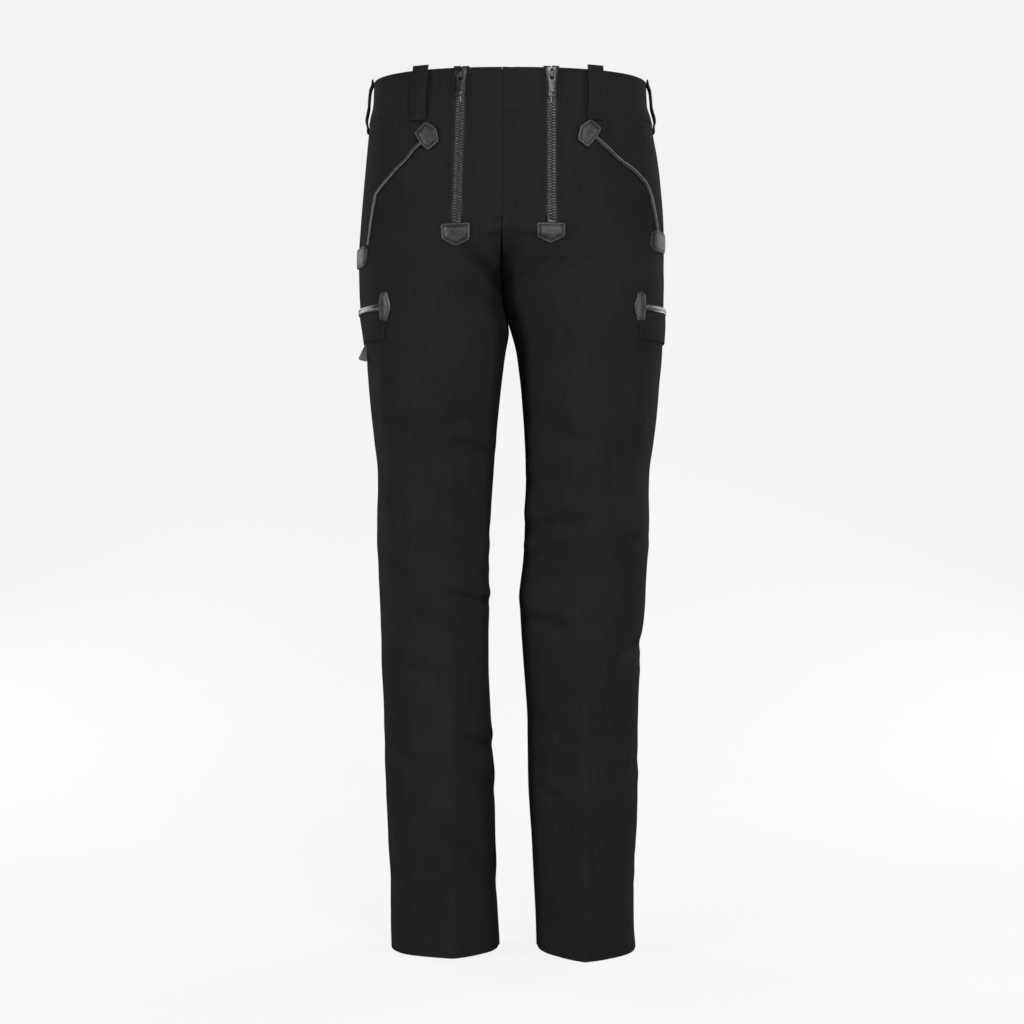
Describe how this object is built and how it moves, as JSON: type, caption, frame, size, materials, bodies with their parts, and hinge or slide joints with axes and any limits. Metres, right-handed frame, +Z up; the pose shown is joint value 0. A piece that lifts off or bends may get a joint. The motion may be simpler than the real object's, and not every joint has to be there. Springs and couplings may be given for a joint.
{
  "type": "guild work trousers",
  "caption": "Heavy black cotton work trousers with a zipped drop front, leather-edged slanted hip pockets and a folding-rule pocket on each thigh.",
  "frame": {"origin": "on the ground between the feet: middle of the bounding box, at the level of the hems", "axes": "+Z up along the legs, -Y is the wearer's front, +X is the wearer's left"},
  "size_m": [0.3738, 0.2559, 1.05],
  "materials": {
    "cloth": "matt heavy brushed moleskin cotton, black",
    "lining": "plain dark cotton pocketing and facing",
    "leather": "black grain leather, semi-gloss, edge-stitched",
    "zip_tape": "black woven herringbone tape",
    "zip_metal": "dark nickel plated, softly worn",
    "label": "blank woven tag, no marking"
  },
  "bodies": {
    "root": {"front_panel_right": "cloth", "front_panel_left": "cloth", "back_panel_right": "cloth", "back_panel_left": "cloth", "waistband_right": "cloth", "waistband_left": "cloth", "waistband_facing_right": "lining", "waistband_facing_left": "lining", "belt_loops_front": "cloth", "belt_loops_side": "cloth", "belt_loops_back": "cloth", "hem_right": "cloth", "hem_left": "cloth", "pocket_facing_right": "cloth", "pocket_facing_left": "cloth", "pocket_bag_right": "lining", "pocket_bag_left": "lining", "pocket_piping_right": "leather", "pocket_piping_left": "leather", "pocket_tab_top_right": "leather", "pocket_tab_top_left": "leather", "pocket_tab_bottom_right": "leather", "pocket_tab_bottom_left": "leather", "rule_pocket_patch_right": "cloth", "rule_pocket_patch_left": "cloth", "rule_pocket_bag_right": "lining", "rule_pocket_bag_left": "lining", "rule_pocket_binding_right": "leather", "rule_pocket_binding_left": "leather", "rule_pocket_tabs_right": "leather", "rule_pocket_tabs_left": "leather", "seat_pocket_right": "cloth", "seat_pocket_left": "cloth", "seat_pocket_binding_right": "leather", "seat_pocket_binding_left": "leather", "label_flag": "label", "zip_end_tab_right": "leather", "zip_end_tab_left": "leather", "zip_tape_outer_right": "zip_tape", "zip_tape_outer_left": "zip_tape", "zip_teeth_outer_right": "zip_metal", "zip_teeth_outer_left": "zip_metal", "zip_stops_right": "zip_metal", "zip_stops_left": "zip_metal"},
    "front_flap": {"flap_panel_right": "cloth", "flap_panel_left": "cloth", "flap_waistband_right": "cloth", "flap_waistband_left": "cloth", "flap_facing": "lining", "zip_tape_flap_right": "zip_tape", "zip_tape_flap_left": "zip_tape", "zip_teeth_flap_right": "zip_metal", "zip_teeth_flap_left": "zip_metal"},
    "slider_right": {"zip_slider_right": "zip_metal"},
    "slider_left": {"zip_slider_left": "zip_metal"},
    "pull_right": {"zip_pull_right": "zip_metal"},
    "pull_left": {"zip_pull_left": "zip_metal"}
  },
  "joints": [
    {"name": "front_flap_fold", "type": "hinge", "parent": "root", "child": "front_flap", "pos_m": [-0.007, -0.1282, 0.8618], "axis": [1, 0, 0], "range_deg": [0, 150], "stiffness_Nm_per_rad": 0.02},
    {"name": "zip_slide_right", "type": "slide", "parent": "root", "child": "slider_right", "axis": [-0.0294, -0.0668, -0.9973], "range_m": [0, 0.16]},
    {"name": "zip_pull_tilt_right", "type": "hinge", "parent": "slider_right", "child": "pull_right", "pos_m": [-0.06027, -0.11389, 1.0368], "axis": [-0.9846, 0.1737, 0.0174], "range_deg": [0, 170]},
    {"name": "zip_slide_left", "type": "slide", "parent": "root", "child": "slider_left", "axis": [0, -0.0745, -0.9972], "range_m": [0, 0.16]},
    {"name": "zip_pull_tilt_left", "type": "hinge", "parent": "slider_left", "child": "pull_left", "pos_m": [0.04672, -0.11531, 1.03679], "axis": [-0.9931, -0.1167, 0.0087], "range_deg": [0, 170]}
  ]
}
